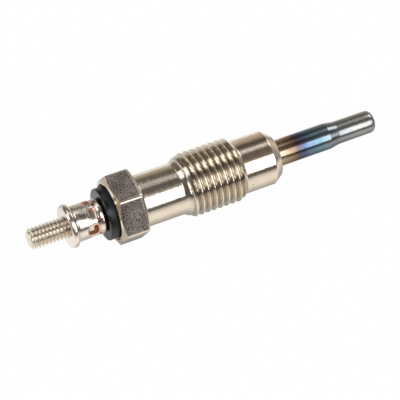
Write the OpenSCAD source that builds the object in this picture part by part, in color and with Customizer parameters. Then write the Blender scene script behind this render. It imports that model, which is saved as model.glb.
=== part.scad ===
// Sheathed-element diesel glow plug with an M12 shell thread and an M4 terminal stud.
// The axis lies along X: the stud points to -X, the heater tip to +X, +Z is up.
// The origin is on the axis, at the large edge of the sealing cone on the shell's nose.
// The plug lies on one flat of its hexagon. Both threads are drawn at their outer diameter.

/* [Shell] */
// Size of the hexagon across its flats
hex_af = 12; // [11.5:0.25:14]
// Length of the hexagon along the axis
hex_length = 5.45; // [4.5:0.05:9]
// Height of the end chamfers at the middle of a flat
hex_edge = 0.45; // [0.2:0.05:0.6]
// Angle of the end chamfers from the end faces, in degrees
hex_chamfer_angle = 30; // [15:1:40]
// Diameter of the plain shank between hexagon and thread
shank_d = 9.8; // [9.4:0.1:10.4]
// Length of the plain shank
shank_length = 8; // [4:0.25:30]
// Outer diameter of the shell's thread
thread_d = 12; // [11:0.25:14]
// Length of the shell's thread
thread_length = 9.9; // [6:0.1:20]
// Length of the cone that leads from the shank up to the thread
thread_runout = 1.1; // [0.6:0.1:2]
// Length of the chamfer at the thread's leading end
thread_lead = 1; // [0.6:0.1:1.6]
// Diameter of the smooth nose
nose_d = 10.3; // [9.4:0.1:10.6]
// Length of the smooth nose, from the thread's chamfer to the sealing cone
nose_length = 6; // [3:0.25:12]
// Length of the sealing cone along the axis
cone_length = 1.6; // [1:0.1:2.2]
// Diameter at the small end of the sealing cone
cone_end_d = 8.2; // [7:0.1:9]
// Width of the chamfer round the tube's mouth in the sealing cone's end face
mouth_chamfer = 0.2; // [0.1:0.05:0.4]

/* [Centre rod] */
// Diameter of the rod and outer diameter of its terminal thread
rod_d = 4; // [3.5:0.25:5]
// Length of the terminal stud beyond the crimp collar
stud_length = 7.1; // [5:0.1:14]
// Chamfer at the end of the terminal stud
stud_chamfer = 0.5; // [0.2:0.05:0.8]
// Diameter of the thread relief at the stud's foot, in the collar's mouth
relief_d = 3.1; // [2.8:0.05:3.3]
// Length of the thread relief
relief_length = 0.8; // [0.4:0.1:1.2]
// Width of the air gap between the rod and the shell's bore
rod_air_gap = 1; // [0.5:0.1:1.2]
// Diameter of the rod's thinner end in the heater tube
pin_d = 2.5; // [2.2:0.1:2.8]
// How far the rod's thinner end reaches past the sealing cone's large edge
pin_reach = 0.5; // [-2:0.25:3]
// Length of the spigot that carries the first turns of the control coil
pin_spigot = 2.2; // [1:0.1:4]

/* [Crimp collar] */
// Diameter of the collar's flange
flange_d = 8.1; // [7.4:0.1:10]
// Thickness of the collar's flange
flange_t = 1.25; // [0.9:0.05:2]
// Radius of the rounded edges of the flange
flange_edge = 0.35; // [0.1:0.05:0.4]
// Diameter of the collar's barrel
barrel_d = 6.7; // [6.4:0.1:7.2]
// Length of the whole collar, from the flange's face to the washer
collar_length = 6.95; // [6:0.05:9]
// Radius of the barrel's rounded end at the washer, and of the fillet at the flange
barrel_edge = 0.45; // [0.2:0.05:0.6]
// Number of crimp dents round the barrel
crimp_count = 6; // [4:1:6]
// Angle of the first dent, from -Y towards +Z, in degrees
crimp_turn = 14; // [0:1:60]
// Width of a dent across the barrel
crimp_width = 2.3; // [1.6:0.1:2.4]
// Depth of a dent's floor below the barrel's crown
crimp_depth = 0.5; // [0.3:0.05:0.7]
// Length of a dent along the axis
crimp_length = 2.1; // [1.4:0.1:2.8]
// Length of the dent's ramp on the flange side
crimp_ramp = 0.7; // [0.3:0.1:1]
// Distance from the dent's steep wall to the barrel's end
crimp_inset = 1.35; // [0.9:0.05:1.6]

/* [Insulating washer and rod seal] */
// Diameter of the washer
washer_d = 9.8; // [9:0.1:10]
// How far the washer stands out of the hexagon
washer_proud = 1.6; // [0.8:0.1:3]
// Depth of the washer's seat in the hexagon
washer_seat = 1.6; // [0.8:0.1:2]
// Gap round the washer in its seat
washer_gap = 0.2; // [0.1:0.05:0.3]
// Radius of the washer's rounded rim
washer_edge = 0.3; // [0.1:0.05:0.5]
// Length of the washer's bush in the seal's bore
bush_length = 1; // [0.5:0.1:1.2]
// Gap round the bush and round the rod in the washer
bush_gap = 0.06; // [0.02:0.02:0.1]
// Radial thickness of the rod seal
rod_seal_t = 2; // [1.4:0.1:2.1]
// Length of the rod seal along the axis
rod_seal_length = 1.9; // [1.2:0.1:2.2]
// Radius of the rod seal's rounded edges
rod_seal_edge = 0.55; // [0.2:0.05:0.6]

/* [Heater tube] */
// Outer diameter of the heater tube
tube_d = 5; // [4.8:0.1:5.6]
// Wall of the heater tube
tube_wall = 0.55; // [0.4:0.05:0.6]
// Length of the heater tube that is pressed into the shell
tube_grip = 11.6; // [8:0.2:16]
// Reach of the heater tip from the sealing cone's large edge
heater_reach = 22.4; // [18:0.2:34]
// Length of the reduced heater tip
tip_length = 7.8; // [6:0.1:10]
// Length of the taper down to the reduced tip
taper_length = 1.9; // [1:0.1:3]
// Diameter of the reduced tip behind, next to the taper
tip_d = 4.34; // [4.2:0.02:4.6]
// Diameter of the reduced tip in front
tip_end_d = 4.26; // [4.1:0.02:4.5]
// Radius of the tip's rounded end
tip_round = 1.05; // [0.5:0.05:1.4]
// Thickness of the tip's closed end
tip_wall = 1.2; // [0.8:0.1:1.6]
// Length of the seal in the mouth of the heater tube
tube_seal_length = 3; // [2:0.2:4]
// How far that seal stands out of the tube, up to the rod's shoulder
tube_seal_proud = 0.6; // [0.3:0.1:1]

/* [Coils] */
// Mean diameter of both coils
coil_d = 2; // [1.8:0.05:2.05]
// Diameter of the coils' wire
wire_d = 0.36; // [0.3:0.02:0.4]
// Clearance between the wire and the powder round it
wire_gap = 0.02; // [0.01:0.01:0.03]
// Wanted pitch of the control coil
control_pitch = 0.85; // [0.6:0.05:1.2]
// Wanted pitch of the heating coil
heating_pitch = 0.62; // [0.5:0.02:0.8]
// Length of packed powder between the two coils
coil_bridge = 0.8; // [0.6:0.1:1.2]
// Length of the heating coil's straight lead at the tip
tip_lead = 0.6; // [0.4:0.1:1]

/* [Hidden] */
$fn = 96;

// Segments in each small rounded edge, sides of the coil wire and steps in each turn
edge_steps = 6;
wire_sides = 6;
turn_steps = 18;
// Room that cutting bodies have beyond the faces they cut
over = 1;

// Stations of the shell along the axis
nose_back = -nose_length;
thread_front = nose_back - thread_lead;
thread_back = thread_front - thread_length;
shank_front = thread_back - thread_runout;
hex_front = shank_front - shank_length;
hex_back = hex_front - hex_length;
seat_floor = hex_back + washer_seat;
gland_floor = seat_floor + bush_length + rod_seal_length;
tube_mouth = cone_length - tube_grip;

// Stations of the terminal end
washer_face = hex_back - washer_proud;
collar_face = washer_face - collar_length;
stud_end = collar_face - stud_length;

// Stations of the heater tube and of what it holds
taper_front = heater_reach - tip_length;
taper_back = taper_front - taper_length;
chamber_end = heater_reach - tip_wall;
rod_shoulder = tube_mouth - tube_seal_proud;
powder_back = rod_shoulder + tube_seal_length;
spigot_end = pin_reach + pin_spigot;

// Radii
rod_r = rod_d / 2;
pin_r = pin_d / 2;
gland_r = rod_r + rod_seal_t;
seat_r = washer_d / 2 + washer_gap;
tube_r = tube_d / 2;
chamber_r = tube_r - tube_wall;
tip_chamber_r = tip_d / 2 - tube_wall;
tip_chamber_end_r = tip_end_d / 2 - tube_wall;
coil_r = coil_d / 2;
wire_r = wire_d / 2;
slot_in_r = coil_r * cos(180 / turn_steps) - wire_r - wire_gap;
slot_out_r = coil_r + wire_r + wire_gap;
lead_hole_r = wire_r + wire_gap / 2;

// Stretches of powder that the two coils lie in
control_slot = [pin_reach, taper_back - coil_bridge / 2];
heating_slot = [taper_back + coil_bridge / 2, chamber_end - tip_lead];

// Points of a rounded edge round [radius, station], from angle a0 to a1
function rounded(centre, r, a0, a1) = [
    for (i = [0:edge_steps])
        let (a = a0 + (a1 - a0) * i / edge_steps)
        centre + r * [cos(a), sin(a)]
];

// A solid turned round the X axis from a profile of [radius, station] points
module turned(profile) {
    rotate([0, 90, 0]) rotate_extrude() polygon(profile);
}

// A turned ring of rectangular section
module turned_ring(inner_r, outer_r, from, to) {
    turned([[inner_r, from], [outer_r, from], [outer_r, to], [inner_r, to]]);
}

// A turned plug or cutting body
module turned_plug(r, from, to) {
    translate([from, 0, 0]) rotate([0, 90, 0]) cylinder(r = r, h = to - from);
}

// The hexagon, with a flat below and another above, chamfered at both ends
module hexagon() {
    corner_r = hex_af / sqrt(3);
    face_r = hex_af / 2 - hex_edge;
    rise = (corner_r - face_r) * tan(hex_chamfer_angle);
    intersection() {
        translate([hex_back, 0, 0]) rotate([0, 90, 0]) rotate([0, 0, 30])
            cylinder(r = corner_r, h = hex_length, $fn = 6);
        turned([
            [0, hex_back], [face_r, hex_back], [corner_r, hex_back + rise],
            [corner_r, hex_front - rise], [face_r, hex_front], [0, hex_front]
        ]);
    }
}

module shell() {
    color([0.72, 0.68, 0.63]) difference() {
        union() {
            hexagon();
            turned([
                [0, hex_back + hex_length / 2], [shank_d / 2, hex_back + hex_length / 2],
                [shank_d / 2, shank_front], [thread_d / 2, thread_back],
                [thread_d / 2, thread_front], [nose_d / 2, nose_back], [nose_d / 2, 0],
                [cone_end_d / 2, cone_length], [0, cone_length]
            ]);
        }
        turned([
            [0, hex_back - over], [seat_r, hex_back - over], [seat_r, seat_floor],
            [gland_r, seat_floor], [gland_r, gland_floor],
            [rod_r + rod_air_gap, gland_floor], [rod_r + rod_air_gap, tube_mouth],
            [tube_r, tube_mouth], [tube_r, cone_length - mouth_chamfer],
            [tube_r + mouth_chamfer, cone_length], [tube_r + mouth_chamfer, cone_length + over],
            [0, cone_length + over]
        ]);
    }
}

module centre_rod() {
    color([0.74, 0.69, 0.60]) turned([
        [0, stud_end], [rod_r - stud_chamfer, stud_end], [rod_r, stud_end + stud_chamfer],
        [rod_r, collar_face], [relief_d / 2, collar_face],
        [relief_d / 2, collar_face + relief_length], [rod_r, collar_face + relief_length],
        [rod_r, rod_shoulder], [pin_r, rod_shoulder], [pin_r, pin_reach],
        [slot_in_r, pin_reach], [slot_in_r, spigot_end], [0, spigot_end]
    ]);
}

// One crimp dent: a ramp on the flange side, a flat floor and a steep wall near the barrel's end
module crimp_dent() {
    crown = barrel_d / 2;
    floor_r = crown - crimp_depth;
    wall = washer_face - crimp_inset;
    linear_extrude(height = crimp_width, center = true) polygon([
        [wall - crimp_length, crown + over], [wall - crimp_length, crown],
        [wall - crimp_length + crimp_ramp, floor_r], [wall, floor_r], [wall, crown + over]
    ]);
}

module crimp_collar() {
    flange_back = collar_face + flange_t;
    flange_r = flange_d / 2;
    barrel_r = barrel_d / 2;
    color([0.78, 0.73, 0.67]) difference() {
        turned(concat(
            [[rod_r, collar_face]],
            rounded([flange_r - flange_edge, collar_face + flange_edge], flange_edge, -90, 0),
            rounded([flange_r - flange_edge, flange_back - flange_edge], flange_edge, 0, 90),
            rounded([barrel_r + barrel_edge, flange_back + barrel_edge], barrel_edge, 270, 180),
            rounded([barrel_r - barrel_edge, washer_face - barrel_edge], barrel_edge, 0, 90),
            [[rod_r, washer_face]]
        ));
        for (i = [0:crimp_count - 1])
            rotate([180 - crimp_turn - i * 360 / crimp_count, 0, 0]) crimp_dent();
    }
}

module insulating_washer() {
    rim_r = washer_d / 2;
    hole_r = rod_r + bush_gap;
    bush_r = gland_r - bush_gap;
    color([0.07, 0.07, 0.075]) turned(concat(
        [[hole_r, washer_face]],
        rounded([rim_r - washer_edge, washer_face + washer_edge], washer_edge, -90, 0),
        [
            [rim_r, seat_floor], [bush_r, seat_floor],
            [bush_r, seat_floor + bush_length], [hole_r, seat_floor + bush_length]
        ]
    ));
}

module rod_seal() {
    back = seat_floor + bush_length;
    e = rod_seal_edge;
    color([0.12, 0.12, 0.12]) turned(concat(
        rounded([rod_r + e, back + e], e, 180, 270),
        rounded([gland_r - e, back + e], e, 270, 360),
        rounded([gland_r - e, gland_floor - e], e, 0, 90),
        rounded([rod_r + e, gland_floor - e], e, 90, 180)
    ));
}

module heater_tube() {
    color([0.55, 0.54, 0.53]) turned(concat(
        [
            [chamber_r, tube_mouth], [tube_r, tube_mouth], [tube_r, taper_back],
            [tip_d / 2, taper_front]
        ],
        rounded([tip_end_d / 2 - tip_round, heater_reach - tip_round], tip_round, 0, 90),
        [
            [0, heater_reach], [0, chamber_end], [tip_chamber_end_r, chamber_end],
            [tip_chamber_r, taper_front], [chamber_r, taper_back]
        ]
    ));
}

module tube_seal() {
    color([0.35, 0.13, 0.10]) turned_ring(pin_r, chamber_r, rod_shoulder, powder_back);
}

// A hole along the axis for a straight coil lead
module lead_hole(from, to) {
    translate([0, 0, coil_r]) turned_plug(lead_hole_r, from, to);
}

module insulating_powder() {
    color([0.93, 0.92, 0.88]) difference() {
        turned([
            [0, powder_back], [chamber_r, powder_back], [chamber_r, taper_back],
            [tip_chamber_r, taper_front], [tip_chamber_end_r, chamber_end], [0, chamber_end]
        ]);
        turned_plug(pin_r, powder_back - over, pin_reach);
        turned_plug(slot_in_r, pin_reach - over, spigot_end);
        turned_ring(slot_in_r, slot_out_r, control_slot[0], control_slot[1]);
        turned_ring(slot_in_r, slot_out_r, heating_slot[0], heating_slot[1]);
        lead_hole(control_slot[1] - wire_d, heating_slot[0] + wire_d);
        lead_hole(heating_slot[1] - wire_d, chamber_end + over);
    }
}

// Points of a coil's centreline: whole turns from one station to another, starting above the axis
function coil_path(from, to, pitch) =
    let (turns = max(1, round((to - from) / pitch)), steps = turns * turn_steps)
    [
        for (i = [0:steps])
            let (a = 360 * i / turn_steps)
            [from + (to - from) * i / steps, -coil_r * sin(a), coil_r * cos(a)]
    ];

// A wire swept along a path: each ring of points lies across the mean direction at its point
module wire_along(path) {
    last = len(path) - 1;
    points = [
        for (i = [0:last])
            let (
                along = path[min(i + 1, last)] - path[max(i - 1, 0)],
                t = along / norm(along),
                p = path[i],
                radial = [0, p[1], p[2]] - t * (t[1] * p[1] + t[2] * p[2]),
                u = radial / norm(radial),
                v = cross(t, u)
            )
            for (j = [0:wire_sides - 1])
                p + wire_r * (cos(360 * j / wire_sides) * u + sin(360 * j / wire_sides) * v)
    ];
    sides = [
        for (i = [0:last - 1])
            for (j = [0:wire_sides - 1])
                let (a = i * wire_sides, b = a + wire_sides, k = (j + 1) % wire_sides)
                for (face = [[a + j, b + j, b + k], [a + j, b + k, a + k]])
                    face
    ];
    back_end = [[for (j = [0:wire_sides - 1]) j]];
    front_end = [[for (j = [wire_sides - 1:-1:0]) last * wire_sides + j]];
    polyhedron(points, concat(back_end, sides, front_end), convexity = 10);
}

// The control coil, welded round the rod's spigot, with a straight lead to the heating coil
module control_coil() {
    from = control_slot[0] + wire_r + wire_gap;
    to = control_slot[1] - wire_r - wire_gap;
    color([0.45, 0.40, 0.34]) wire_along(concat(
        coil_path(from, to, control_pitch), [[taper_back, 0, coil_r]]
    ));
}

// The heating coil, welded to the control coil's lead and to the closed end of the tube
module heating_coil() {
    from = heating_slot[0] + wire_r + wire_gap;
    to = heating_slot[1] - wire_r - wire_gap;
    color([0.62, 0.58, 0.52]) wire_along(concat(
        [[taper_back, 0, coil_r]], coil_path(from, to, heating_pitch),
        [[chamber_end, 0, coil_r]]
    ));
}

shell();
centre_rod();
crimp_collar();
insulating_washer();
rod_seal();
heater_tube();
tube_seal();
insulating_powder();
control_coil();
heating_coil();
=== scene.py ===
import math

import bpy
import numpy as np
from mathutils import Matrix


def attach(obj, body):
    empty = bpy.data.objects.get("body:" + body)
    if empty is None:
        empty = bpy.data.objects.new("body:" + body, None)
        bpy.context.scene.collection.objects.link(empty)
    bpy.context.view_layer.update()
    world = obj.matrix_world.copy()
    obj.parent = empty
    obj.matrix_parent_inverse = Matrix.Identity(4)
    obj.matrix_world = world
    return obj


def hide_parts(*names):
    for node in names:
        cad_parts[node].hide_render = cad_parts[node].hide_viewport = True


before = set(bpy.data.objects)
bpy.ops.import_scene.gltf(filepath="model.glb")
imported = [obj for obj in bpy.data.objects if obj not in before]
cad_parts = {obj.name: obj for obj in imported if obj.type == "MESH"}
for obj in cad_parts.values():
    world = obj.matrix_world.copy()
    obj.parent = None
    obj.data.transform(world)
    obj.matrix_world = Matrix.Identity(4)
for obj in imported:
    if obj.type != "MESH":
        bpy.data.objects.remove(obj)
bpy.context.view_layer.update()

# Lengths below are in millimetres, as on a drawing of the plug, and become metres in the mesh.
MM = 0.001
TURN = 2 * math.pi

# Stations along the axis, from the stud's end to the heater tip, 0 at the sealing cone's large edge
STUD_END = -47.1
COLLAR_FACE = -40.0
WASHER_FACE = -33.05
HEX_BACK = -31.45
SEAT_FLOOR = -29.85
SEAL_SHOULDER = -26.95
HEX_FRONT = -26.0
SHANK_FRONT = -18.2
THREAD_BACK = -16.1
ROD_SHOULDER = -10.6
TUBE_MOUTH = -10.0
THREAD_FRONT = -7.0
NOSE_BACK = -6.0
PIN_END = 0.5
CONE_END = 1.6
SPIGOT_END = 2.7
TAPER_BACK = 12.7
TAPER_FRONT = 14.6
CHAMBER_END = 21.2
TIP_END = 22.4

# Radii
ROD_R = 2.0
NECK_R = 1.92
PIN_R = 1.25
SPIGOT_R = 0.78
FLANGE_R = 4.05
BARREL_R = 3.35
WASHER_R = 4.9
BUSH_R = 3.94
SEAT_R = 5.3
SEAL_BORE_R = 4.0
ROD_BORE_R = 3.0
HALF_FLATS = 6.0
SHANK_R = 4.9
THREAD_R = 6.0
NOSE_R = 5.15
CONE_R = 4.1
TUBE_R = 2.5
TIP_R = 2.15
CHAMBER_R = 1.95

# Gap round the rod in the washer
ROD_GAP = 0.06

# Turn of the first dent in the collar, in degrees
DENT_TURN = 12.0

# Place of the one small pit in the nose's plating
PIT = (-5.05, -5.14, 0.28)

# Threads: pitch, and depth as a share of the pitch
SHELL_PITCH = 1.25
STUD_PITCH = 0.7
THREAD_DEPTH = 0.6134


# Shapes

def rounded_line(corners, steps=5):
    """Profile through corners of (station, radius, rounding): each corner with a rounding is
    replaced by a curve that starts and ends that far before and after it along the two sides, at most
    nearly half of a side. The curve is (1 - t)^2 times the start plus 2 t (1 - t) times the corner plus
    t^2 times the end."""
    nearly_half = 0.48
    points = np.array([corner[:2] for corner in corners], float)
    t = np.linspace(0, 1, steps + 1)[:, None]
    out = [points[:1]]
    for before, here, after, corner in zip(points[:-2], points[1:-1], points[2:], corners[1:-1]):
        back, on = before - here, after - here
        back_length, on_length = np.linalg.norm(back), np.linalg.norm(on)
        reach = min(corner[2], nearly_half * back_length, nearly_half * on_length)
        start = here + back / back_length * reach
        end = here + on / on_length * reach
        curve = (1 - t) ** 2 * start + 2 * t * (1 - t) * here + t ** 2 * end
        out.append(curve if corner[2] else here[None])
    out.append(points[-1:])
    return np.concatenate(out)


def turned(name, station, radius, theta, ring=False, sharp=50):
    """Surface of revolution about X on a grid: row i follows the profile, column j the angle.
    x = station[i, j], y = -radius[i, j] cos(theta[j]), z = radius[i, j] sin(theta[j]).
    A ring joins its last row to its first. Otherwise each end row lies on the axis and is one point."""
    columns = len(theta)
    station = np.broadcast_to(np.reshape(station, (len(station), -1)), (len(station), columns))
    radius = np.broadcast_to(np.reshape(radius, (len(radius), -1)), (len(radius), columns))
    points = np.stack([station, -radius * np.cos(theta), radius * np.sin(theta)], axis=-1) * MM
    rows = len(points)
    j = np.arange(columns)
    k = (j + 1) % columns
    if ring:
        i = np.arange(rows)[:, None] * columns
        n = (np.arange(rows)[:, None] + 1) % rows * columns
        quads = np.stack([i + j, n + j, n + k, i + k], axis=-1).reshape(-1, 4)
        vertices, fans = points.reshape(-1, 3), []
    else:
        i = np.arange(rows - 3)[:, None] * columns
        quads = np.stack([i + j, i + columns + j, i + columns + k, i + k], axis=-1).reshape(-1, 4)
        vertices = np.concatenate([points[1:-1].reshape(-1, 3), points[[0, -1], 0]])
        last = (rows - 3) * columns
        first_pole, last_pole = len(vertices) - 2, len(vertices) - 1
        fans = np.concatenate([
            np.stack([np.full(columns, first_pole), j, k], axis=-1),
            np.stack([last + j, np.full(columns, last_pole), last + k], axis=-1),
        ]).tolist()
    mesh = bpy.data.meshes.new(name)
    mesh.from_pydata(vertices.tolist(), [], quads.tolist() + list(fans))
    mesh.update()
    mesh.shade_smooth()
    mesh.set_sharp_from_angle(angle=math.radians(sharp))
    piece = bpy.data.objects.new(name, mesh)
    bpy.context.scene.collection.objects.link(piece)
    return piece


def mark(piece, name, values):
    """Writes one number per vertex of a ring's grid as a named attribute that a finish reads."""
    layer = piece.data.attributes.new(name, "FLOAT", "POINT")
    layer.data.foreach_set("value", np.ascontiguousarray(values, dtype=np.float32).ravel())


def smooth_step(low, high, value):
    """0 at low and before it, 1 at high and past it, and 3 t^2 - 2 t^3 between them. Where low is the
    greater of the two it falls as the value grows."""
    t = np.clip((value - low) / (high - low), 0, 1)
    return t * t * (3 - 2 * t)


def softened(x, stations, values, width):
    """A broken line through (stations, values), averaged over a short width so its corners are round."""
    offsets = np.linspace(-width, width, 7)
    return np.mean([np.interp(x + offset, stations, values) for offset in offsets], axis=0)


def thread_radius(x, theta, major, pitch, fullness=1.0):
    """Right-hand 60 degree thread: the distance from the crest's middle, in pitches along the axis,
    is taken at x plus one pitch for each turn of theta. The radius is the major one over a flat of an
    eighth of a pitch, falls along straight flanks and is flat in the root, with eased corners; a worn
    thread keeps its flanks and has a wider root."""
    start, half_crest, flank_length = 0.62, 0.0625, 0.354
    along = np.mod(x / pitch + theta / TURN + start, 1.0)
    flank = np.clip((np.abs(along - 0.5) - half_crest) / flank_length / fullness, 0, 1)
    eased = 0.85 * flank + 0.15 * flank * flank * (3 - 2 * flank)
    return major - fullness * THREAD_DEPTH * pitch * eased


def even_angles(count):
    """Angles of so many columns, evenly round the axis."""
    return np.arange(count) * TURN / count


def make_shell():
    """Hexagon: at each angle the profile's radius is half the size across flats over the cosine of the
    angle from the nearest flat's middle, cut at each corner by a narrow rubbed face; each end chamfer
    moves along the axis by its slope times the step in radius. Shank, thread, nose and cone: a turned
    blank, cut by the thread where the thread's radius is the smaller one, so that the thread runs out
    on the long cone behind it and on the short one in front."""
    rub = math.radians(1.3)
    side = np.concatenate([[rub], np.linspace(rub, TURN / 6 - rub, 31)[1:-1], [TURN / 6 - rub]])
    theta = (np.arange(6)[:, None] * TURN / 6 + side).ravel()
    from_flat = np.mod(theta, TURN / 6) - TURN / 12
    corner = HALF_FLATS / np.cos(from_flat)
    face_back, face_front = 5.6, 5.2
    edge = 0.07
    chamfer_back = HEX_BACK + (corner - face_back) * math.tan(math.radians(30))
    chamfer_front = HEX_FRONT - (corner - face_front) * math.tan(math.radians(15))

    def row(x, r):
        """One station and one radius for each column, from single numbers or from rows."""
        return np.broadcast_to(x, theta.shape), np.broadcast_to(r, theta.shape)

    hexagon = [
        row(SEAT_FLOOR, SEAT_R), row(HEX_BACK + 0.08, SEAT_R), row(HEX_BACK, SEAT_R + 0.08),
        row(HEX_BACK, face_back - 0.05), row(HEX_BACK + 0.03, face_back + 0.04),
        row(chamfer_back - edge * 0.5, corner - edge * 0.87), row(chamfer_back - 0.02, corner - 0.02),
        row(chamfer_back + edge, corner), row(chamfer_back * 0.5 + chamfer_front * 0.5, corner),
        row(chamfer_front - 0.5, corner), row(chamfer_front - 0.36, corner - 0.012),
        row(chamfer_front - 0.12, corner - 0.05), row(chamfer_front + 0.067, corner - 0.15),
        row(HEX_FRONT - 0.03, face_front + 0.04), row(HEX_FRONT, face_front - 0.05),
        row(HEX_FRONT, SHANK_R + 0.16), row(HEX_FRONT + 0.06, SHANK_R + 0.05),
        row(HEX_FRONT + 0.16, SHANK_R), row(HEX_FRONT + 0.24, SHANK_R), row(HEX_FRONT + 0.5, SHANK_R),
        row(SHANK_FRONT - 0.6, SHANK_R),
    ]
    flat_rows, front_edge_rows = slice(7, 10), slice(10, 12)
    hex_x = np.array([x for x, r in hexagon])
    hex_r = np.array([r for x, r in hexagon])

    blank_x = np.arange(SHANK_FRONT - 0.3, NOSE_BACK + 0.3, SHELL_PITCH / 32)[:, None]
    blank_r = softened(
        blank_x, [SHANK_FRONT, THREAD_BACK, THREAD_FRONT, NOSE_BACK],
        [SHANK_R, THREAD_R, THREAD_R, NOSE_R], 0.07,
    )
    cut_r = np.minimum(blank_r, thread_radius(blank_x, theta[None], THREAD_R, SHELL_PITCH))
    cut_x = np.broadcast_to(blank_x, cut_r.shape)

    nose = rounded_line([
        (NOSE_BACK + 0.4, NOSE_R, 0), (-0.3, NOSE_R, 0), (-0.2, NOSE_R, 0), (0, NOSE_R, 0.1),
        (CONE_END, CONE_R, 0.12), (CONE_END, TUBE_R + 0.12, 0.05), (CONE_END - 0.2, TUBE_R, 0),
        (TUBE_MOUTH, TUBE_R, 0), (TUBE_MOUTH, ROD_BORE_R, 0), (SEAL_SHOULDER, ROD_BORE_R, 0),
        (SEAL_SHOULDER, SEAL_BORE_R, 0), (SEAT_FLOOR, SEAL_BORE_R, 0),
    ])
    nose_x = np.broadcast_to(nose[:, :1], (len(nose), len(theta)))
    nose_r = np.broadcast_to(nose[:, 1:], (len(nose), len(theta)))
    station = np.concatenate([hex_x, cut_x, nose_x])
    radius = np.concatenate([hex_r, cut_r, nose_r])
    piece = turned("threaded_shell", station, radius, theta, ring=True, sharp=40)

    rest = np.zeros((len(station) - len(hexagon), len(theta)))
    at_corner = np.isin(np.arange(len(theta)) % len(side), [0, len(side) - 1])
    # Painted light: the three lower flats, the front one most, are less dull than the upper ones, so they
    # show lighter; the dull, grainy flats themselves are the finish.
    dullness_lit_below = np.repeat([1.0, 1.0, 1.0, 0.9, 0.8, 0.5], len(side))
    dull = np.zeros_like(hex_x)
    dull[flat_rows] = np.where(at_corner, 0.0, dullness_lit_below)
    dull[front_edge_rows] = 0.3
    mark(piece, "dull_flat_lit_below", np.concatenate([dull, rest]))
    threaded = smooth_step(SHANK_FRONT, THREAD_BACK, station) * smooth_step(NOSE_BACK, THREAD_FRONT, station)
    # The groove mark is the depth into the thread; the finish paints shade by it, darkest in the roots.
    mark(piece, "groove", threaded * np.clip((THREAD_R - radius) / (THREAD_DEPTH * SHELL_PITCH), 0, 1))
    return piece


def make_rod():
    """Turned rod: a blank with a chamfered end and a slight neck at the collar, cut by the terminal
    thread, which runs out in the neck; the rest is the plain rod, its thinner end and the coil's spigot."""
    theta = even_angles(96)
    x = np.arange(STUD_END + 0.04, COLLAR_FACE + 0.3, STUD_PITCH / 28)[:, None]
    blank = softened(
        x, [STUD_END, STUD_END + 0.5, COLLAR_FACE - 0.3, COLLAR_FACE - 0.1], [1.5, ROD_R, ROD_R, NECK_R], 0.06
    )
    cut = thread_radius(x, theta[None], ROD_R, STUD_PITCH, 0.92)
    fade = smooth_step(COLLAR_FACE + 0.1, COLLAR_FACE - 0.15, x)
    stud = np.minimum(blank, cut * fade + blank * (1 - fade))
    plain = rounded_line([
        (COLLAR_FACE + 0.4, NECK_R, 0), (COLLAR_FACE + 0.5, ROD_R, 0), (ROD_SHOULDER, ROD_R, 0.1),
        (ROD_SHOULDER, PIN_R, 0), (PIN_END, PIN_R, 0.05), (PIN_END, SPIGOT_R, 0),
        (SPIGOT_END, SPIGOT_R, 0.05), (SPIGOT_END, 0.3, 0), (SPIGOT_END, 0, 0),
    ])
    end = np.array([[STUD_END, 0], [STUD_END, 0.5], [STUD_END, 1.2], [STUD_END, 1.42]])
    station = np.concatenate([end[:, :1], x, plain[:, :1]])
    radius = np.concatenate([
        np.broadcast_to(end[:, 1:], (len(end), len(theta))), stud,
        np.broadcast_to(plain[:, 1:], (len(plain), len(theta))),
    ])
    return turned("terminal_rod", station, radius, theta)


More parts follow.
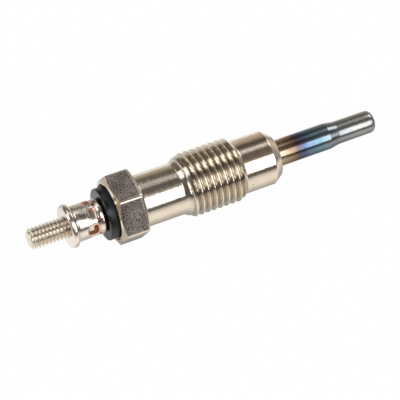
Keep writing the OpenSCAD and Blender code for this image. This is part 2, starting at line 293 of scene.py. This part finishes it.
def make_collar():
    """Turned collar with a flange, a shallow groove behind the flange, a neck by a bell curve past the
    dents and a rounded end, a quarter of an ellipse, next to the washer. Six dents press its barrel in:
    within a dent's width the radius is the dent floor's distance from the axis over the cosine of the
    angle from its middle, so the floor is flat. The floor falls gently from the flange side and ends in a
    steep wall; the metal round each dent is drawn in a little, by a bell curve of the distance from its
    middle. The wear is a share from 0 to 1 that grows by smooth steps towards the dents' edges and
    corners, where the plating is worn through."""
    theta = even_angles(300)
    flange_back = COLLAR_FACE + 1.25
    groove_r = BARREL_R - 0.1
    barrel_back = -38.22
    neck_x, neck_depth, neck_width = -34.45, 0.16, 0.3
    round_start, round_drop = -33.6, 0.72
    profile = rounded_line([
        (COLLAR_FACE, ROD_R, 0), (COLLAR_FACE, FLANGE_R - 0.26, 0.1),
        (COLLAR_FACE + 0.24, FLANGE_R - 0.05, 0.1), (COLLAR_FACE + 0.4, FLANGE_R, 0.06),
        (COLLAR_FACE + 0.95, FLANGE_R, 0.1), (flange_back, FLANGE_R - 0.22, 0.1),
        (flange_back, groove_r, 0.08), (flange_back + 0.25, groove_r, 0.1),
        (flange_back + 0.37, BARREL_R, 0.1), (barrel_back, BARREL_R, 0),
    ], 7)
    barrel_x = np.linspace(barrel_back + 0.04, round_start - 0.02, 115)
    neck = neck_depth * np.exp(-((barrel_x - neck_x) / neck_width) ** 2)
    barrel = np.stack([barrel_x, BARREL_R - neck], axis=-1)
    quarter = np.linspace(0, TURN / 4, 16)
    end = np.stack([
        round_start + (WASHER_FACE - round_start) * np.sin(quarter),
        BARREL_R - round_drop * (1 - np.cos(quarter)),
    ], axis=-1)
    line = np.concatenate([profile, barrel, end, [[WASHER_FACE, ROD_R]]])
    x, r = line[:, :1], line[:, 1:]

    turn = theta - math.radians(DENT_TURN) + TURN / 12
    dent = np.floor(np.mod(turn, TURN) / (TURN / 6)).astype(int)

    def by_dent(*values):
        """A row with each column's value, one for each of the six dents."""
        return np.array(values)[dent][None]

    dent_start, ramp_foot, middle, wall_foot, dent_end = -36.4, -36.0, -35.4, -34.9, -34.4
    ramp_foot_r, wall_foot_r = 3.02, 2.96
    drawn_start, drawn_depth, drawn_width = -38.1, 0.05, 1.3
    uneven = np.radians(by_dent(-4.0, -2.0, -9.0, -3.0, -1.0, 2.0))
    longer = by_dent(-0.55, 0.0, 0.0, -0.2, 0.0, -0.1)
    off = np.mod(turn, TURN / 6) - TURN / 12 - uneven
    across = np.abs(r * np.sin(off))
    eased_in = np.where(x < middle, x - longer * np.clip((middle - x) / 0.6, 0, 1), x)
    floor = softened(
        eased_in, [dent_start - 0.2, dent_start, ramp_foot, wall_foot, dent_end, dent_end + 0.15],
        [3.46, BARREL_R, ramp_foot_r, wall_foot_r, BARREL_R, 3.5], 0.17,
    ) / np.cos(off)
    inside = 1 - smooth_step(1.02, 1.46, across)
    bell = np.exp(-((across / drawn_width) ** 2) - ((x - middle + 0.2) / drawn_width) ** 2)
    drawn_in = drawn_depth * bell * smooth_step(drawn_start, drawn_start + 0.9, x)
    depth = np.maximum(inside * np.clip(r - floor, 0, None), drawn_in)
    depth = np.where((x > drawn_start) & (x < dent_end + 0.35), depth, 0)
    station = np.broadcast_to(x, depth.shape)
    piece = turned("crimped_collar", station, r - depth, theta, ring=True, sharp=60)

    lean = by_dent(-1.0, 1.0, -1.0, 1.0, -1.0, 1.0)
    clean = by_dent(0.0, 1.0, 0.2, 0.85, 0.4, 0.9)
    veil = by_dent(0.0, 0.0, 0.5, 0.1, 0.2, 0.1)
    aside = r * np.sin(off) * lean
    toward_wall = smooth_step(wall_foot - 1.0, wall_foot - 0.5, station)
    toward_side = smooth_step(-0.3, 0.25, aside)
    along_edges = 0.9 * np.maximum(toward_wall, toward_side) * (1 - clean)
    foot_of_wall = smooth_step(wall_foot - 0.3, wall_foot - 0.05, station) * smooth_step(-0.7, 0.0, aside)
    foot_of_side = smooth_step(0.5, 0.85, aside) * smooth_step(ramp_foot - 0.1, ramp_foot + 0.5, station)
    in_corner = 0.46 * np.maximum(foot_of_wall, foot_of_side) * clean
    within = smooth_step(dent_end + 0.2, dent_end, station) * (1 - smooth_step(1.36, 1.5, across))
    pressed = smooth_step(0.06, 0.3, depth)
    stain = np.maximum(np.maximum(along_edges, in_corner), veil) * pressed * within
    wall = smooth_step(dent_end + 0.24, dent_end + 0.1, station)
    wall = wall * smooth_step(wall_foot - 0.1, wall_foot + 0.2, station)
    wall = 0.26 * wall * (1 - smooth_step(1.25, 1.5, across))
    ridge = smooth_step(wall_foot, wall_foot + 0.3, station)
    ridge = ridge * smooth_step(dent_end + 0.35, dent_end + 0.1, station)
    ridge = 0.72 * ridge * smooth_step(1.05, 1.35, across)
    worn_edge = smooth_step(dent_start - 0.35, dent_start - 0.1, station)
    worn_edge = worn_edge * smooth_step(ramp_foot + 0.2, ramp_foot - 0.1, station)
    worn_edge = 0.16 * worn_edge * (1 - smooth_step(1.2, 1.6, across))
    mark(piece, "bared", np.maximum(np.maximum(stain, worn_edge), np.maximum(wall, ridge)))
    return piece


def make_washer():
    """Turned washer with a rounded rim and a bush behind it."""
    hole_r, bush_end = ROD_R + ROD_GAP, SEAT_FLOOR + 1
    line = rounded_line([
        (WASHER_FACE, hole_r, 0), (WASHER_FACE, 3.7, 0), (WASHER_FACE, WASHER_R, 0.18),
        (SEAT_FLOOR, WASHER_R, 0.1), (SEAT_FLOOR, BUSH_R, 0), (bush_end, BUSH_R, 0.1), (bush_end, hole_r, 0),
    ])
    return turned("black_washer", line[:, :1], line[:, 1:], even_angles(128), ring=True)


def make_heater_tube():
    """Turned tube: from the closed end of its chamber back to the open mouth, then outside along the
    tube, down the eased taper and along the tip to its rounded end."""
    inner = rounded_line([
        (CHAMBER_END, 0, 0), (CHAMBER_END, 0.5, 0), (CHAMBER_END, 1.58, 0.1), (TAPER_FRONT, 1.62, 0),
        (TAPER_BACK, CHAMBER_R, 0), (TUBE_MOUTH, CHAMBER_R, 0), (TUBE_MOUTH, TUBE_R, 0.05),
        (TUBE_MOUTH + 0.2, TUBE_R, 0),
    ])
    taper_x = np.arange(TAPER_BACK - 0.4, TAPER_FRONT + 0.5, 0.06)
    x = np.concatenate([[-9.0, 1.0, 6.0, 11.0], taper_x, [17.0, 20.0, TIP_END - 1.2]])
    end_r = TIP_R - 0.02
    r = softened(x, [TAPER_BACK, TAPER_FRONT, TIP_END], [TUBE_R, TIP_R + 0.02, end_r], 0.1)
    outer = np.stack([x, r], axis=-1)
    turn = np.linspace(0, TURN / 4, 12)[1:]
    tip_round = 1.08
    end = np.stack([
        TIP_END - tip_round + tip_round * np.sin(turn), end_r - tip_round + tip_round * np.cos(turn)
    ], axis=-1)
    line = np.concatenate([inner, outer, end, [[TIP_END, 0.5], [TIP_END, 0]]])
    return turned("heater_sheath", line[:, :1], line[:, 1:], even_angles(128))


# Finishes

def start_finish(name, metallic, roughness):
    """A new material, its node tree and its shader."""
    mat = bpy.data.materials.new(name)
    mat.use_nodes = True
    tree = mat.node_tree
    shader = tree.nodes["Principled BSDF"]
    shader.inputs["Metallic"].default_value = metallic
    shader.inputs["Roughness"].default_value = roughness
    return mat, tree, shader


def put(tree, kind, values, **settings):
    """A new node with its settings, and its sockets set to numbers or joined to other sockets."""
    made = tree.nodes.new(kind)
    for key, value in settings.items():
        setattr(made, key, value)
    for socket, value in values.items():
        if isinstance(value, bpy.types.NodeSocket):
            tree.links.new(value, made.inputs[socket])
        else:
            made.inputs[socket].default_value = value
    return made


def axes(tree, space="Object"):
    """The X, Y and Z of the place or direction that is shaded."""
    coords = put(tree, "ShaderNodeTexCoord", {})
    split = put(tree, "ShaderNodeSeparateXYZ", {"Vector": coords.outputs[space]})
    return split.outputs["X"], split.outputs["Y"], split.outputs["Z"]


def grain(tree, size, detail=2.0, stretch=(1, 1, 1)):
    """Noise whose features are about size millimetres, longer along an axis with a small stretch."""
    coords = put(tree, "ShaderNodeTexCoord", {})
    scaled = put(tree, "ShaderNodeMapping", {"Vector": coords.outputs["Object"], "Scale": stretch})
    noise = put(tree, "ShaderNodeTexNoise", {
        "Vector": scaled.outputs["Vector"], "Scale": 1 / (size * MM), "Detail": detail,
    })
    return noise.outputs["Fac"]


def between(tree, value, low, high, from_low=0.3, from_high=0.7):
    """Goes from low to high in step with the value, and stays there outside its limits."""
    made = put(tree, "ShaderNodeMapRange", {
        "Value": value, "From Min": from_low, "From Max": from_high, "To Min": low, "To Max": high,
    })
    return made.outputs["Result"]


def mix_colour(tree, share, first, second):
    """The first colour where the share is 0 and the second where it is 1."""
    return put(tree, "ShaderNodeMix", {0: share, 6: first, 7: second}, data_type="RGBA").outputs[2]


def mix_number(tree, share, first, second):
    """The first number where the share is 0 and the second where it is 1."""
    return put(tree, "ShaderNodeMix", {0: share, 2: first, 3: second}).outputs[0]


def combine(tree, operation, first, second, **settings):
    """The result of one operation on two numbers."""
    return put(tree, "ShaderNodeMath", {0: first, 1: second}, operation=operation, **settings).outputs[0]


def read_mark(tree, name):
    """The number that mark wrote under this name."""
    return put(tree, "ShaderNodeAttribute", {}, attribute_name=name).outputs["Fac"]


def raise_bump(tree, shader, *layers):
    """Bumps one over another, each a height and the distance in millimetres that it spans."""
    normal = None
    for height, distance in layers:
        values = {"Height": height, "Strength": 1.0, "Distance": distance * MM}
        if normal:
            values["Normal"] = normal
        normal = put(tree, "ShaderNodeBump", values).outputs["Normal"]
    tree.links.new(normal, shader.inputs["Normal"])


def ramp_colour(tree, share, stops):
    """A colour by the share, from pairs of a position and a colour."""
    ramp = put(tree, "ShaderNodeValToRGB", {"Fac": share})
    elements = ramp.color_ramp.elements
    while len(elements) < len(stops):
        elements.new(0.5)
    for element, (position, colour) in zip(elements, stops):
        element.position = position
        element.color = (*colour, 1.0)
    return ramp.outputs["Color"]


def rgb(r, g, b):
    """A colour with full opacity, as sockets want it."""
    return (r, g, b, 1.0)


def shell_finish():
    """Warm nickel with fine turning marks, a slight ripple and one small pit; painted shade darkens the
    thread by its depth, most in the roots; the hexagon's flats are dull, grainy and mottled."""
    mat, tree, shader = start_finish("warm_nickel", 1.0, 0.2)
    cloud = grain(tree, 2.5, 3)
    lines = grain(tree, 0.09, 2, (1, 0.03, 0.03))
    ripple = grain(tree, 0.32, 3)
    speck = grain(tree, 0.24, 5)
    bright = mix_colour(tree, between(tree, cloud, 0, 1), rgb(0.74, 0.62, 0.485), rgb(0.80, 0.69, 0.56))
    groove = read_mark(tree, "groove")
    # Painted shade: the thread's colour darkens with its depth, darkest in the roots.
    root_shade = ramp_colour(tree, groove, [
        (0.0, (0.72, 0.62, 0.50)), (0.6, (0.68, 0.60, 0.485)),
        (0.88, (0.53, 0.455, 0.36)), (1.0, (0.36, 0.295, 0.22)),
    ])
    plated = mix_colour(tree, between(tree, groove, 0, 1, 0.02, 0.2), bright, root_shade)
    coords = put(tree, "ShaderNodeTexCoord", {})
    from_pit = put(tree, "ShaderNodeVectorMath", {
        0: coords.outputs["Object"], 1: tuple(np.array(PIT) * MM),
    }, operation="DISTANCE").outputs["Value"]
    in_pit = between(tree, from_pit, 1, 0, 0.08 * MM, 0.2 * MM)
    pitted = mix_colour(tree, in_pit, plated, rgb(0.12, 0.09, 0.06))
    mottle = between(tree, mix_number(tree, 0.25, speck, cloud), 0, 1, 0.4, 0.6)
    flat = mix_colour(tree, mottle, rgb(0.06, 0.05, 0.042), rgb(0.425, 0.362, 0.302))
    # This mark's lesser dullness on the lower flats is painted light.
    dull = read_mark(tree, "dull_flat_lit_below")
    tree.links.new(mix_colour(tree, dull, pitted, flat), shader.inputs["Base Color"])
    turned_rough = mix_number(tree, groove, between(tree, lines, 0.06, 0.13), 0.17)
    tree.links.new(mix_number(tree, dull, turned_rough, 0.6), shader.inputs["Roughness"])
    raise_bump(tree, shader, (lines, 0.0025), (ripple, 0.011), (mix_number(tree, dull, 0.5, speck), 0.03))
    return mat


def rod_finish():
    """Nickel on the thread, a little uneven in colour and sheen."""
    mat, tree, shader = start_finish("rod_nickel", 1.0, 0.22)
    cloud = grain(tree, 0.8, 3)
    colour = mix_colour(tree, between(tree, cloud, 0, 1), rgb(0.66, 0.57, 0.455), rgb(0.77, 0.685, 0.565))
    tree.links.new(colour, shader.inputs["Base Color"])
    tree.links.new(between(tree, cloud, 0.2, 0.28), shader.inputs["Roughness"])
    raise_bump(tree, shader, (grain(tree, 0.2, 2), 0.002))
    return mat


def collar_finish():
    """Bright nickel, worn through in the dents: pale copper at their rims, brown red in their corners."""
    mat, tree, shader = start_finish("collar_nickel", 1.0, 0.1)
    patch = grain(tree, 0.45, 3)
    bared = combine(
        tree, "MULTIPLY", read_mark(tree, "bared"), between(tree, patch, 0.75, 1.15), use_clamp=True
    )
    cloud = grain(tree, 1.5, 2)
    bright = mix_colour(tree, between(tree, cloud, 0, 1), rgb(0.77, 0.675, 0.56), rgb(0.83, 0.75, 0.65))
    worn = ramp_colour(tree, bared, [
        (0.0, (0.80, 0.70, 0.60)), (0.26, (0.80, 0.58, 0.43)), (0.42, (0.72, 0.30, 0.21)),
        (0.58, (0.36, 0.16, 0.09)), (0.8, (0.20, 0.07, 0.036)), (1.0, (0.13, 0.04, 0.022)),
    ])
    shown = between(tree, bared, 0, 1, 0.03, 0.22)
    tree.links.new(mix_colour(tree, shown, bright, worn), shader.inputs["Base Color"])
    sheen = between(tree, cloud, 0.1, 0.16)
    rough = mix_number(tree, between(tree, bared, 0, 1, 0.0, 0.3), sheen, 0.34)
    tree.links.new(rough, shader.inputs["Roughness"])
    raise_bump(tree, shader, (grain(tree, 0.8, 2), 0.012))
    return mat


def washer_finish():
    """Satin black moulding with a little dust, smoother on its face than on its side."""
    mat, tree, shader = start_finish("black_moulding", 0.0, 0.3)
    dust = grain(tree, 0.5, 4)
    dusty = between(tree, dust, 0, 1, 0.4, 0.8)
    colour = mix_colour(tree, dusty, rgb(0.004, 0.004, 0.004), rgb(0.010, 0.010, 0.010))
    tree.links.new(colour, shader.inputs["Base Color"])
    shader.inputs["Specular IOR Level"].default_value = 0.45
    station = axes(tree)[0]
    deep = between(tree, station, 0, 1, (WASHER_FACE + 0.15) * MM, (HEX_BACK - 0.3) * MM)
    tree.links.new(mix_number(tree, deep, between(tree, dust, 0.14, 0.24), 0.5), shader.inputs["Roughness"])
    raise_bump(tree, shader, (grain(tree, 0.18, 2), 0.002))
    return mat


def tube_finish():
    """Temper colours along the tube, straw and brown at the nose, then violet and blue, grey at the tip."""
    mat, tree, shader = start_finish("tempered_alloy", 1.0, 0.2)
    station = axes(tree)[0]
    waver = between(tree, grain(tree, 1.2, 3), -0.3 * MM, 0.3 * MM)
    share = between(tree, combine(tree, "ADD", station, waver), 0.0, 1.0, 0.0, TIP_END * MM)
    tempers = [
        (1.6, (0.50, 0.40, 0.285)), (3.0, (0.45, 0.348, 0.226)), (4.0, (0.36, 0.235, 0.145)),
        (5.0, (0.265, 0.167, 0.11)), (6.0, (0.122, 0.094, 0.115)), (7.0, (0.094, 0.12, 0.212)),
        (8.2, (0.136, 0.2, 0.272)), (10.0, (0.155, 0.258, 0.296)), (11.2, (0.185, 0.272, 0.302)),
        (12.4, (0.245, 0.288, 0.325)), (13.0, (0.24, 0.27, 0.28)), (14.3, (0.28, 0.29, 0.29)),
        (14.9, (0.32, 0.325, 0.32)), (17.5, (0.385, 0.385, 0.355)), (22.0, (0.39, 0.38, 0.34)),
    ]
    tempered = ramp_colour(tree, share, [(at / TIP_END, colour) for at, colour in tempers])
    streaks = grain(tree, 0.25, 3, (0.25, 1, 1))
    speck = grain(tree, 0.22, 3)
    shade = mix_colour(tree, between(tree, streaks, 0, 0.3), tempered, rgb(0.07, 0.06, 0.055))
    tree.links.new(shade, shader.inputs["Base Color"])
    satin = between(tree, station, 0.0, 1.0, (TAPER_BACK + 0.1) * MM, (TAPER_FRONT - 0.1) * MM)
    rough = mix_number(tree, satin, between(tree, streaks, 0.14, 0.22), 0.22)
    tree.links.new(rough, shader.inputs["Roughness"])
    raise_bump(tree, shader, (streaks, 0.003), (mix_number(tree, satin, 0.5, speck), 0.008))
    return mat


def plain_finish(name, dark, light, metallic, rough, size):
    """Two shades of one colour in patches of the given size, with the same grain in its bump."""
    mat, tree, shader = start_finish(name, metallic, rough)
    patch = grain(tree, size, 3)
    colour = mix_colour(tree, between(tree, patch, 0, 1), rgb(*dark), rgb(*light))
    tree.links.new(colour, shader.inputs["Base Color"])
    tree.links.new(between(tree, patch, rough - 0.08, rough + 0.08), shader.inputs["Roughness"])
    raise_bump(tree, shader, (patch, 0.01))
    return mat


def dress(piece, node, finish):
    """Gives a new piece its finish and puts it in the place of a node of the solids."""
    piece.data.materials.clear()
    piece.data.materials.append(finish)
    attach(piece, "root")
    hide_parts(node)


dress(make_shell(), "shell", shell_finish())
dress(make_rod(), "centre_rod", rod_finish())
dress(make_collar(), "crimp_collar", collar_finish())
dress(make_washer(), "insulating_washer", washer_finish())
dress(make_heater_tube(), "heater_tube", tube_finish())

inner_finishes = {
    "rod_seal": plain_finish("seal_rubber", (0.012, 0.012, 0.012), (0.03, 0.03, 0.03), 0.0, 0.6, 0.3),
    "tube_seal": plain_finish("seal_red_rubber", (0.16, 0.03, 0.02), (0.24, 0.05, 0.035), 0.0, 0.6, 0.3),
    "insulating_powder": plain_finish(
        "packed_white_powder", (0.66, 0.65, 0.61), (0.82, 0.81, 0.77), 0.0, 0.85, 0.12
    ),
    "control_coil": plain_finish("control_wire", (0.30, 0.26, 0.21), (0.42, 0.37, 0.31), 1.0, 0.35, 0.2),
    "heating_coil": plain_finish("heating_wire", (0.40, 0.37, 0.33), (0.55, 0.51, 0.46), 1.0, 0.35, 0.2),
}
for node_name, finish in inner_finishes.items():
    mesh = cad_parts[node_name].data
    mesh.materials.clear()
    mesh.materials.append(finish)


# Floor, light and camera

def make_floor():
    """Pale floor under the plug, white to the camera, with a soft shadow. In reflections it glows with
    painted
    shade: palest a little in front of the plug and darker far in front, a painted shadow right under the
    shell and collar, and painted shade behind the stud's half of the plug and beyond the tip. What the
    stud's half mirrors of the floor behind lies further along the axis with its distance, so that limit
    moves with a quarter of it."""
    half_size = 3.0
    low = -HALF_FLATS * MM
    corners = [
        (-half_size, -half_size, low), (half_size, -half_size, low),
        (half_size, half_size, low), (-half_size, half_size, low),
    ]
    mesh = bpy.data.meshes.new("floor")
    mesh.from_pydata(corners, [], [(0, 1, 2, 3)])
    floor = bpy.data.objects.new("floor", mesh)
    bpy.context.scene.collection.objects.link(floor)
    mat, tree, shader = start_finish("pale_floor", 0.0, 0.9)
    shader.inputs["Specular IOR Level"].default_value = 0.0
    shader.inputs["Base Color"].default_value = rgb(0.9, 0.89, 0.88)
    x, y = axes(tree)[:2]

    # Painted shade for reflections: the floor's glow falls off far in front, with a painted shadow under the
    # plug.
    far, near = -120.0, -10.0
    reach = between(tree, y, 0.0, 1.0, far * MM, near * MM)
    by_distance = [(-120, 0.15), (-74, 0.3), (-31, 0.72), (-22, 0.95), (-16, 1.0)]
    level = ramp_colour(tree, reach, [((at - far) / (near - far), (share,) * 3) for at, share in by_distance])
    aside = combine(tree, "ABSOLUTE", y, 0.0)
    shell_above = between(tree, x, 0, 1, (HEX_BACK - 6) * MM, (HEX_BACK - 1) * MM)
    collar_above = between(tree, x, 0, 0.8, (COLLAR_FACE - 0.5) * MM, (COLLAR_FACE + 1.5) * MM)
    above = combine(tree, "MAXIMUM", shell_above, collar_above)
    under = combine(tree, "MULTIPLY", between(tree, aside, 0.6, 0.0, 4 * MM, 10 * MM), above)
    farther = between(tree, y, 0, 0.46, 5 * MM, 20 * MM)
    mirrored_x = combine(tree, "SUBTRACT", x, combine(tree, "MULTIPLY", y, 0.25))
    stud_half = between(tree, mirrored_x, 1, 0, -36 * MM, -13 * MM)
    near_stud = between(tree, x, 0, 1, -62 * MM, -52 * MM)
    behind = combine(tree, "MULTIPLY", farther, combine(tree, "MULTIPLY", stud_half, near_stud))
    beyond_tip = between(tree, x, 0, 0.68, TIP_END * MM, 2.5 * TIP_END * MM)
    shade = combine(tree, "MAXIMUM", combine(tree, "MAXIMUM", under, behind), beyond_tip)

    seen = put(tree, "ShaderNodeLightPath", {})
    in_mirror, by_camera = seen.outputs["Is Glossy Ray"], seen.outputs["Is Camera Ray"]
    # Mirrors see the floor as a glow whose colour carries this painted shade and shadow.
    mirrored = mix_colour(tree, shade, level, rgb(0, 0, 0))
    glow = put(tree, "ShaderNodeEmission", {
        "Color": mix_colour(tree, in_mirror, rgb(1, 1, 1), mirrored),
        "Strength": mix_number(tree, in_mirror, 1.0, 1.08),
    })
    mirror_share = combine(tree, "MULTIPLY", in_mirror, 0.92)
    camera_share = combine(tree, "MULTIPLY", by_camera, 0.98)
    share = combine(tree, "MAXIMUM", mirror_share, camera_share)
    both = put(tree, "ShaderNodeMixShader", {0: share, 1: shader.outputs[0], 2: glow.outputs[0]})
    tree.links.new(both.outputs[0], tree.nodes["Material Output"].inputs["Surface"])
    mesh.materials.append(mat)


def make_studio():
    """Studio dome, white to the camera. Each row of panels gives the light by the angle from the front
    horizon, 0 degrees, over the top, 90, to the back horizon, 180: a soft panel in front, a dark ceiling
    with a strip light across it, and a backdrop. The rows follow each other from the stud's side to the
    tip's by the X of the direction. Each turned face of the plug mirrors a narrow range of X and so its
    own row; the flanks and cones mirror the rows further along and beyond both ends."""
    world = bpy.data.worlds.new("studio")
    bpy.context.scene.world = world
    world.use_nodes = True
    tree = world.node_tree
    x, y, z = axes(tree, "Generated")
    angle = combine(tree, "ARCTAN2", z, combine(tree, "MULTIPLY", y, -1.0))
    over = between(tree, angle, 0.0, 1.0, 0.0, math.pi)

    def panels(*levels, warm_from=120, warm=(1.0, 0.92, 0.82), cool=(0.97, 1.02, 1.1), lamp_level=0.25):
        """One row: lamps are a little cool, and what is past warm_from degrees is warm."""
        def colour(degrees, level):
            tint = cool if level > lamp_level else warm if degrees > warm_from else (1.0, 1.0, 1.0)
            return tuple(level * part for part in tint)

        return ramp_colour(tree, over, [(degrees / 180, colour(degrees, level)) for degrees, level in levels])

    backdrop = [(136, 0.042), (146, 0.1), (155, 0.16), (165, 0.185), (180, 0.25)]

    over_stud = panels(
        (0, 0.045), (32, 0.045), (39, 0.9), (61, 0.9), (68, 0.09), (76, 0.045), (106, 0.06), (112, 0.33),
        (135, 0.33), (143, 0.05), (160, 0.045), (172, 0.055), (180, 0.08),
    )
    over_collar = panels(
        (0, 0.15), (8, 0.16), (11, 0.2), (18, 0.43), (61, 0.43), (68, 0.38), (75, 0.22), (82, 0.13),
        (100, 0.12), (108, 0.2), (114, 0.46), (124, 0.46), (131, 0.2), (140, 0.15), (152, 0.16), (170, 0.21),
        (180, 0.24),
    )
    over_shank = panels(
        (0, 0.045), (9.8, 0.045), (13.6, 1.0), (54, 1.0), (59, 0.1), (66, 0.035), (76, 0.026), (94, 0.026),
        (102, 0.03), (109, 0.075), (115, 0.165), (118, 0.165), (122, 0.06), (128, 0.026), (147, 0.018),
        (154, 0.045), (162, 0.1), (170, 0.15), (180, 0.19),
    )
    over_nose = panels(
        (0, 0.045), (9.8, 0.045), (13.6, 1.0), (52, 1.0), (57, 0.11), (64, 0.06), (74, 0.045), (89, 0.04),
        (96, 0.1), (100, 0.48), (110.5, 0.48), (114, 0.1), (119, 0.032), (128, 0.028), (136, 0.042),
        (146, 0.14), (155, 0.205), (165, 0.23), (180, 0.29),
    )
    tube_panel = [(0, 0.045), (9.8, 0.045), (13.6, 1.22), (53, 1.22), (57.5, 0.13), (64, 0.09), (76, 0.08)]
    tube_strip = [(96, 0.09), (103, 0.14), (109, 0.14), (116, 0.09), (124, 0.045), (128, 0.034)]
    dim_back = [(136, 0.04), (146, 0.075), (155, 0.11), (165, 0.125), (180, 0.165)]
    over_tube = panels(*tube_panel, *tube_strip, *dim_back, warm_from=60, warm=(0.84, 0.6, 0.47))
    over_tip = panels(*tube_panel, *tube_strip, *backdrop, warm_from=60, warm=(1.0, 0.86, 0.76))

    toward_tip = panels(
        (0, 0.04), (16, 0.045), (25, 0.66), (36, 0.62), (52, 0.34), (57, 0.15), (64, 0.11), (74, 0.06),
        (94, 0.06), (99, 0.6), (103, 1.15), (123, 1.15), (128, 0.8), (132, 0.06), *backdrop,
    )
    beyond_tip = panels((0, 0.17), (12, 0.12), (120, 0.12), (148, 0.21), (180, 0.25))
    toward_stud = panels((0, 0.04), (85, 0.05), (93, 0.6), (119, 0.6), (127, 0.04), (150, 0.06), (180, 0.1))
    beyond_stud = panels((0, 0.15), (100, 0.17), (116, 0.3), (121, 1.0), (137, 1.0), (143, 0.3), (180, 0.22))

    dome = over_stud
    for from_x, to_x, row in (
        (0.235, 0.239, over_collar), (0.2525, 0.256, over_shank), (0.29, 0.312, over_nose),
        (0.328, 0.345, over_tube), (0.362, 0.372, over_tip), (0.38, 0.58, toward_tip),
        (0.72, 0.9, beyond_tip), (-0.15, -0.35, toward_stud), (-0.7, -0.85, beyond_stud),
    ):
        dome = mix_colour(tree, between(tree, x, 0, 1, from_x, to_x), dome, row)
    lit = tree.nodes["Background"]
    tree.links.new(dome, lit.inputs["Color"])
    lit.inputs["Strength"].default_value = 3.0
    white = put(tree, "ShaderNodeBackground", {"Color": rgb(1, 1, 1), "Strength": 1.0})
    by_camera = put(tree, "ShaderNodeLightPath", {}).outputs["Is Camera Ray"]
    both = put(tree, "ShaderNodeMixShader", {0: by_camera, 1: lit.outputs[0], 2: white.outputs[0]})
    tree.links.new(both.outputs[0], tree.nodes["World Output"].inputs["Surface"])


def make_camera():
    """Camera turned round the plug by azimuth and elevation, rolled a little and aimed beside the origin.
    Its lens shows each millimetre beside the origin as so many pixels of a square picture."""
    azimuth, elevation, roll = (math.radians(degrees) for degrees in (-27.6179, 50.1483, 2.4569))
    distance, aside, above = 400.0, -11.9705, -7.8136
    sensor, picture_pixels, pixels_per_mm = 36.0, 400, 5.43
    back = np.array([
        math.sin(azimuth) * math.cos(elevation), -math.cos(azimuth) * math.cos(elevation), math.sin(elevation)
    ])
    level = np.array([math.cos(azimuth), math.sin(azimuth), 0.0])
    over = np.cross(back, level)
    right = level * math.cos(roll) + over * math.sin(roll)
    up = -level * math.sin(roll) + over * math.cos(roll)
    eye = (back * distance + right * aside + up * above) * MM
    data = bpy.data.cameras.new("camera")
    data.sensor_width = sensor
    data.lens = pixels_per_mm * distance * sensor / picture_pixels
    data.clip_start = 0.02
    camera = bpy.data.objects.new("camera", data)
    bpy.context.scene.collection.objects.link(camera)
    turned_to = np.eye(4)
    turned_to[:3] = np.stack([right, up, back, eye], axis=-1)
    camera.matrix_world = Matrix(turned_to.tolist())
    bpy.context.scene.camera = camera


make_floor()
make_studio()
make_camera()
bpy.context.scene.view_settings.view_transform = "Standard"
